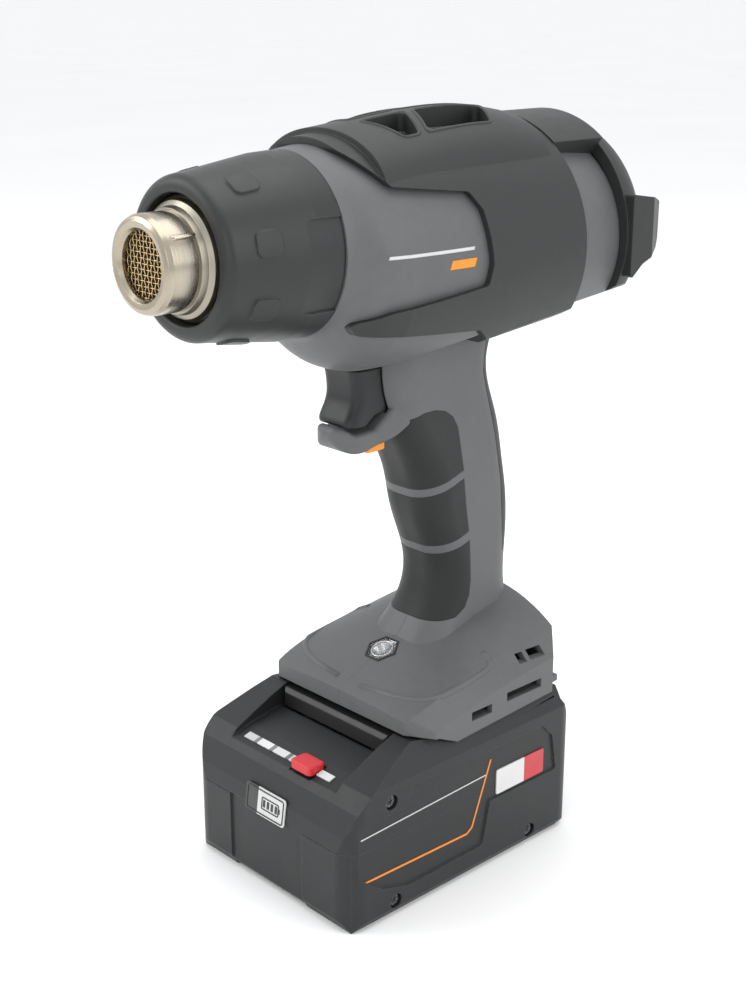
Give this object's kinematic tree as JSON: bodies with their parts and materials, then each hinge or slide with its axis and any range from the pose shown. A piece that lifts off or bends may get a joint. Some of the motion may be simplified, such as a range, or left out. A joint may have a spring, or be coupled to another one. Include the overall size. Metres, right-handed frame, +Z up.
{
  "type": "cordless heat gun",
  "caption": "Pistol-grip cordless heat gun: steel outlet, round barrel with top air intakes, trigger, work light in the foot and a slide-on battery pack it stands on.",
  "frame": {"origin": "centre of the battery pack's flat base, which the tool stands on", "axes": "+Z up, -Y the way the hot air leaves, X = 0 is the mid plane and +X is the side that carries the screw tips"},
  "size_m": [0.0964, 0.2316, 0.302],
  "materials": {
    "housing_grey": "satin moulded",
    "cover_black": "fine textured",
    "sleeve_black": "satin moulded",
    "grip_rubber": "soft matt",
    "outlet_steel": "satin, heat tinted",
    "flange_steel": "satin",
    "mesh_steel": "woven wire",
    "mica": "pressed mica",
    "coil_wire": "oxidised wire",
    "ceramic": "fired",
    "sensor_steel": "drawn",
    "inner_plastic": "moulded",
    "impeller_plastic": "moulded",
    "shaft_steel": "ground",
    "motor_steel": "plated",
    "filter_mesh": "fine mesh",
    "dial_plastic": "satin",
    "trigger_black": "satin",
    "spring_steel": "drawn",
    "lever_orange": "moulded",
    "circuit_board": "solder mask",
    "contact_brass": "plated",
    "strap_nickel": "plated",
    "lamp_glass": "clear",
    "reflector_chrome": "mirror",
    "lead_insulation": "soft",
    "screw_steel": "blackened",
    "battery_black": "fine textured",
    "button_black": "smooth",
    "button_red": "smooth",
    "window_white": "translucent",
    "plate_silver": "printed film",
    "plate_white": "printed film",
    "cell_wrap": "shrink sleeve"
  },
  "bodies": {
    "tool": {"air_filter": "filter_mesh", "backstrap": "grip_rubber", "battery_leads": "lead_insulation", "contact_blades": "contact_brass", "control_board": "circuit_board", "dial_potentiometer": "inner_plastic", "fan_housing": "inner_plastic", "front_sleeve": "sleeve_black", "grip_pad_lower": "grip_rubber", "grip_pad_middle": "grip_rubber", "grip_pad_upper": "grip_rubber", "heater_coil": "coil_wire", "heater_former": "mica", "heater_support": "ceramic", "housing_left": "housing_grey", "housing_right": "housing_grey", "housing_screws": "screw_steel", "lamp_board": "circuit_board", "lamp_lens": "lamp_glass", "lamp_reflector": "reflector_chrome", "mica_tube": "mica", "motor_bearings": "shaft_steel", "motor_can": "motor_steel", "motor_mount": "inner_plastic", "outlet_flange": "flange_steel", "outlet_mesh": "mesh_steel", "outlet_tube": "outlet_steel", "rear_bumper_left": "grip_rubber", "rear_bumper_right": "grip_rubber", "rear_cap": "cover_black", "temperature_sensor": "sensor_steel", "terminal_block": "inner_plastic", "top_cover": "cover_black", "trigger_spring": "spring_steel", "trigger_switch": "inner_plastic"},
    "battery_pack": {"battery_lower_shell": "battery_black", "battery_upper_shell": "battery_black", "battery_screws": "screw_steel", "release_springs": "spring_steel", "charge_window": "window_white", "front_plate": "plate_silver", "side_plates": "plate_white", "battery_cells": "cell_wrap", "cell_holder_left": "inner_plastic", "cell_holder_right": "inner_plastic", "cell_straps": "strap_nickel", "battery_board": "circuit_board", "battery_terminals": "contact_brass"},
    "trigger": {"trigger": "trigger_black"},
    "lock_lever": {"lock_lever": "lever_orange"},
    "temperature_dial": {"temperature_dial": "dial_plastic"},
    "fan_rotor": {"impeller": "impeller_plastic", "motor_shaft": "shaft_steel"},
    "release_button": {"release_button": "button_black"},
    "charge_button": {"charge_button": "button_red"}
  },
  "joints": [
    {"name": "battery_slide", "type": "slide", "parent": "tool", "child": "battery_pack", "axis": [0, -0.9985, -0.0541], "range_m": [0, 0.135]},
    {"name": "trigger_pull", "type": "slide", "parent": "tool", "child": "trigger", "axis": [0, 1, 0], "range_m": [0, 0.005], "stiffness_N_per_m": 900, "springref_m": -0.002, "deforming": ["trigger_spring"]},
    {"name": "lock_slide", "type": "slide", "parent": "tool", "child": "lock_lever", "axis": [0, -1, 0], "range_m": [0, 0.003]},
    {"name": "dial_turn", "type": "hinge", "parent": "tool", "child": "temperature_dial", "pos_m": [0, 0.1145, 0.2504], "axis": [0, 1, 0], "range_deg": [-140, 140]},
    {"name": "fan_spin", "type": "hinge", "parent": "tool", "child": "fan_rotor", "pos_m": [0, 0.013, 0.254], "axis": [0, 1, 0], "continuous": true},
    {"name": "release_press", "type": "slide", "parent": "battery_pack", "child": "release_button", "axis": [0, 0, -1], "range_m": [0, 0.002], "stiffness_N_per_m": 1500, "springref_m": -0.002, "deforming": ["release_springs"]},
    {"name": "charge_press", "type": "slide", "parent": "battery_pack", "child": "charge_button", "axis": [0, 0, -1], "range_m": [0, 0.0008], "stiffness_N_per_m": 1500, "springref_m": -0.001}
  ]
}
